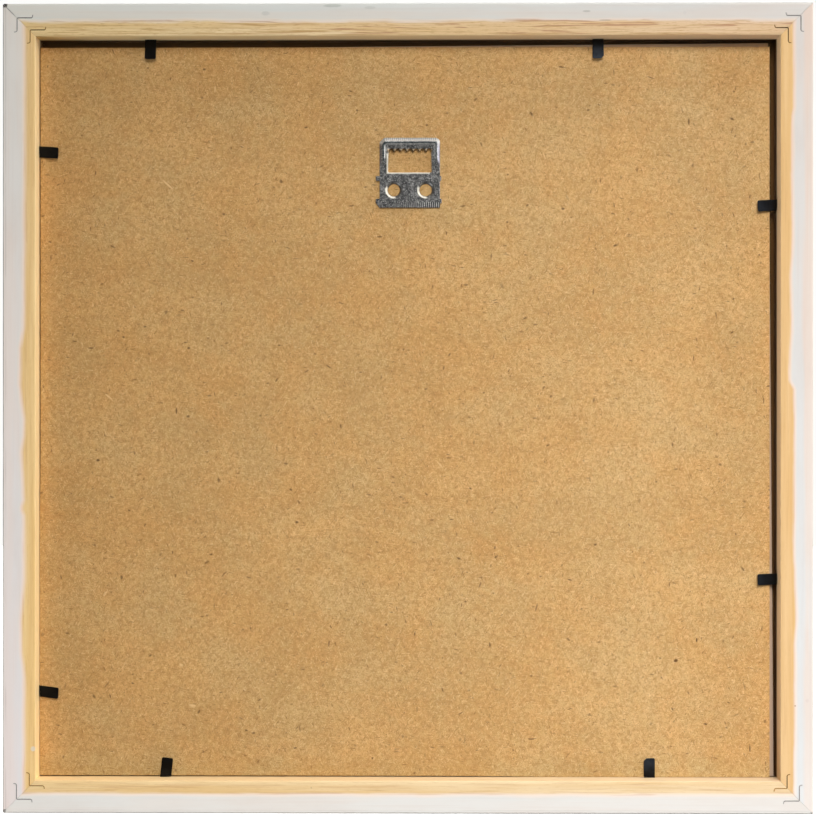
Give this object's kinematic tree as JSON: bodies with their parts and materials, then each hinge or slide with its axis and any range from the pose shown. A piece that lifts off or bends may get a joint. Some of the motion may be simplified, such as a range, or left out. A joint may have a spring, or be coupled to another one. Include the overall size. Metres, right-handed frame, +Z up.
{
  "type": "square picture frame",
  "caption": "Square wooden picture frame with glass, mat and backing board held by bendable tabs, nailed mitres and a toothed wall hanger on the back.",
  "frame": {"origin": "the nail seat: the middle notch of the hanger's toothed edge, at half the plate's thickness", "axes": "+Z up as the frame hangs, +Y out of the back towards the wall, -Y the glass side, +X to the left as seen from behind"},
  "size_m": [0.439, 0.026, 0.439],
  "materials": {
    "rail_wood": "white paint on the front, the outer sides and the outer half of the back, bare pale wood inside",
    "nail_steel": "dull bright steel",
    "tab_steel": "black, satin",
    "pane_glass": "clear, polished",
    "mat_card": "off-white, matt",
    "blank_paper": "blank, matt",
    "fibreboard": "raw brown fibreboard, fine fibre fleck",
    "zinc_steel": "zinc plated, speckled"
  },
  "bodies": {
    "frame": {"rail_top": "rail_wood", "rail_bottom": "rail_wood", "rail_left": "rail_wood", "rail_right": "rail_wood", "v_nail_top_left_outer": "nail_steel", "v_nail_top_left_inner": "nail_steel", "v_nail_top_right_outer": "nail_steel", "v_nail_top_right_inner": "nail_steel", "v_nail_bottom_left_outer": "nail_steel", "v_nail_bottom_left_inner": "nail_steel", "v_nail_bottom_right_outer": "nail_steel", "v_nail_bottom_right_inner": "nail_steel", "tab_root_top_1": "tab_steel", "tab_root_top_2": "tab_steel", "tab_root_bottom_1": "tab_steel", "tab_root_bottom_2": "tab_steel", "tab_root_left_1": "tab_steel", "tab_root_left_2": "tab_steel", "tab_root_right_1": "tab_steel", "tab_root_right_2": "tab_steel", "glass_pane": "pane_glass", "mat_board": "mat_card", "picture_sheet": "blank_paper", "backing_board": "fibreboard", "hanger_plate": "zinc_steel"},
    "tab_top_1": {"tab_blade_top_1": "tab_steel"},
    "tab_top_2": {"tab_blade_top_2": "tab_steel"},
    "tab_bottom_1": {"tab_blade_bottom_1": "tab_steel"},
    "tab_bottom_2": {"tab_blade_bottom_2": "tab_steel"},
    "tab_left_1": {"tab_blade_left_1": "tab_steel"},
    "tab_left_2": {"tab_blade_left_2": "tab_steel"},
    "tab_right_1": {"tab_blade_right_1": "tab_steel"},
    "tab_right_2": {"tab_blade_right_2": "tab_steel"}
  },
  "joints": [
    {"name": "tab_top_1_bend", "type": "hinge", "parent": "frame", "child": "tab_top_1", "pos_m": [0.14195, -0.002, 0.0593], "axis": [1, 0, 0], "range_deg": [-8, 76]},
    {"name": "tab_top_2_bend", "type": "hinge", "parent": "frame", "child": "tab_top_2", "pos_m": [-0.10283, -0.002, 0.0593], "axis": [1, 0, 0], "range_deg": [-8, 76]},
    {"name": "tab_bottom_1_bend", "type": "hinge", "parent": "frame", "child": "tab_bottom_1", "pos_m": [0.13368, -0.002, -0.3431], "axis": [-1, 0, 0], "range_deg": [-8, 76]},
    {"name": "tab_bottom_2_bend", "type": "hinge", "parent": "frame", "child": "tab_bottom_2", "pos_m": [-0.13128, -0.002, -0.3431], "axis": [-1, 0, 0], "range_deg": [-8, 76]},
    {"name": "tab_left_1_bend", "type": "hinge", "parent": "frame", "child": "tab_left_1", "pos_m": [0.2025, -0.002, -0.00145], "axis": [0, 0, -1], "range_deg": [-8, 76]},
    {"name": "tab_left_2_bend", "type": "hinge", "parent": "frame", "child": "tab_left_2", "pos_m": [0.2025, -0.002, -0.29688], "axis": [0, 0, -1], "range_deg": [-8, 76]},
    {"name": "tab_right_1_bend", "type": "hinge", "parent": "frame", "child": "tab_right_1", "pos_m": [-0.1999, -0.002, -0.03091], "axis": [0, 0, 1], "range_deg": [-8, 76]},
    {"name": "tab_right_2_bend", "type": "hinge", "parent": "frame", "child": "tab_right_2", "pos_m": [-0.1999, -0.002, -0.23614], "axis": [0, 0, 1], "range_deg": [-8, 76]}
  ]
}
